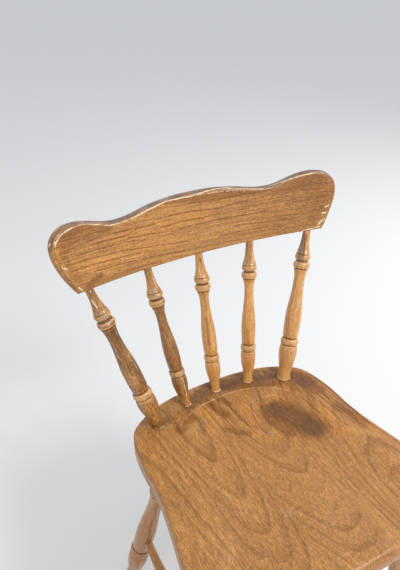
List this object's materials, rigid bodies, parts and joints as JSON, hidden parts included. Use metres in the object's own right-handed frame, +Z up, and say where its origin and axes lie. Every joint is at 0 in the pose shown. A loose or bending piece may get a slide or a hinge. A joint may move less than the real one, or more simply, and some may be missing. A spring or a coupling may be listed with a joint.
{
  "type": "spindle back chair",
  "caption": "Wooden side chair with a saddled plank seat, turned spindles under a bowed shaped crest rail, splayed turned legs and an H of stretchers.",
  "frame": {"origin": "on the floor, in the middle of the chair's overall box", "axes": "+Z up, +Y to the chair's back, so a person sits facing -Y; +X is on the left of a person who sits in it, and on the right of one who looks at it from the front"},
  "size_m": [0.474, 0.4714, 0.7806],
  "materials": {
    "seat_wood": "worn satin varnish",
    "rail_wood": "worn satin varnish",
    "spindle_wood": "worn satin varnish",
    "leg_wood": "worn satin varnish"
  },
  "bodies": {
    "root": {"seat": "seat_wood", "crest_rail": "rail_wood", "spindle_outer_left": "spindle_wood", "spindle_inner_left": "spindle_wood", "spindle_centre": "spindle_wood", "spindle_inner_right": "spindle_wood", "spindle_outer_right": "spindle_wood", "leg_front_left": "leg_wood", "leg_front_right": "leg_wood", "leg_rear_left": "leg_wood", "leg_rear_right": "leg_wood", "stretcher_left": "leg_wood", "stretcher_right": "leg_wood", "stretcher_cross": "leg_wood"}
  },
  "joints": []
}
